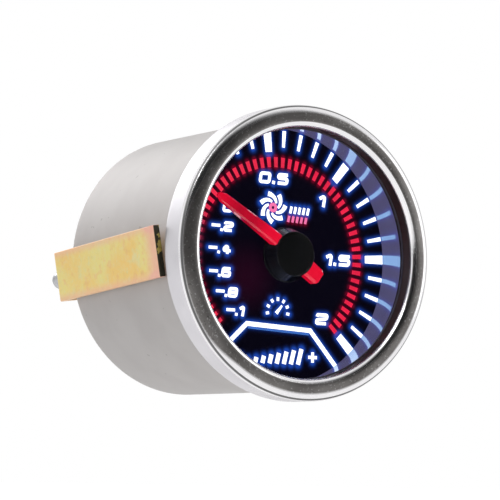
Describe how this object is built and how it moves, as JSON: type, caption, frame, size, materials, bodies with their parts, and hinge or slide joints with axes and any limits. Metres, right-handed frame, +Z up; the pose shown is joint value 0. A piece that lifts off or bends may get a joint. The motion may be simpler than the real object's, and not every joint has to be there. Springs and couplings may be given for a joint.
{
  "type": "boost gauge",
  "caption": "Round panel-mounted boost gauge: bulged bezel, lit dial with geared pointer, curved pressure tube, hose pipe, and a U clamp on two studs.",
  "frame": {"origin": "on the body's axis, in the rear face of the bezel, where the panel seats", "axes": "+Y runs back along the body's axis away from the reader (the dial faces -Y), +Z is up on the dial, +X is to the reader's right"},
  "size_m": [0.0583, 0.0655, 0.056],
  "materials": {
    "can_steel": "satin warm light grey plating",
    "bezel_steel": "polished stainless",
    "lens_glass": "clear glass",
    "seal_rubber": "black",
    "reflector_plastic": "glossy blue-violet",
    "dial_print": "black print with lit marks",
    "guide_acrylic": "clear acrylic",
    "white_plastic": "moulded white",
    "board_green": "green solder mask",
    "led_white": "white lamp chips",
    "led_red": "red lamp chips",
    "contact_metal": "tinned",
    "blade_red": "translucent red",
    "cap_black": "glossy black",
    "movement_steel": "turned",
    "movement_brass": "stamped and brushed",
    "tube_bronze": "drawn bronze",
    "port_brass": "turned",
    "fastener_zinc": "bright zinc plated",
    "clamp_zinc": "yellow zinc plated steel"
  },
  "bodies": {
    "case": {"housing_can": "can_steel", "bezel_ring": "bezel_steel", "lens": "lens_glass", "lens_seal": "seal_rubber", "reflector_ring": "reflector_plastic", "dial_plate": "dial_print", "light_guide": "guide_acrylic", "board_spacer": "white_plastic", "led_board": "board_green", "white_leds": "led_white", "red_leds": "led_red", "board_socket": "white_plastic", "socket_pins": "contact_metal", "inner_liner": "white_plastic", "hairspring": "tube_bronze", "hairspring_post": "movement_brass", "front_plate": "movement_brass", "rear_plate": "movement_brass", "plate_pillars": "movement_brass", "pillar_screws": "movement_steel", "bourdon_tube": "tube_bronze", "tip_block": "movement_brass", "port_stem": "port_brass", "port_washer": "fastener_zinc", "port_nut": "port_brass", "movement_screws": "movement_steel", "mounting_studs": "fastener_zinc", "wire_grommet": "seal_rubber"},
    "pointer": {"pointer_blade": "blade_red", "pointer_cap": "cap_black", "pointer_arbor": "movement_steel", "pinion": "movement_brass", "hairspring_collet": "movement_brass"},
    "sector": {"sector_gear": "movement_brass", "sector_arbor": "movement_steel", "link_pin": "movement_steel"},
    "link": {"link_rod": "movement_brass"},
    "clamp": {"clamp_bracket": "clamp_zinc", "clamp_washers": "fastener_zinc", "clamp_spring_washers": "movement_steel", "clamp_nut_left": "fastener_zinc", "clamp_nut_right": "fastener_zinc"}
  },
  "joints": [
    {"name": "sector_turn", "type": "hinge", "parent": "case", "child": "sector", "pos_m": [-0.00676, 0.0176, -0.01271], "axis": [0, 1, 0], "range_deg": [-27.14, 11.43], "stiffness_Nm_per_rad": 0.05},
    {"name": "pointer_turn", "type": "hinge", "parent": "case", "child": "pointer", "pos_m": [0, 0.0176, 0], "axis": [0, 1, 0], "range_deg": [-80.01, 190.01]},
    {"name": "link_swing", "type": "hinge", "parent": "sector", "child": "link", "pos_m": [-0.00475, 0.0189, -0.01729], "axis": [0, 1, 0], "range_deg": [-11.43, 27.15]},
    {"name": "clamp_slide", "type": "slide", "parent": "case", "child": "clamp", "axis": [0, 1, 0], "range_m": [0, 0.01]}
  ],
  "couplings": [
    {"joint": "pointer_turn", "follows": "sector_turn", "ratio": -7},
    {"joint": "link_swing", "follows": "sector_turn", "ratio": -1}
  ]
}
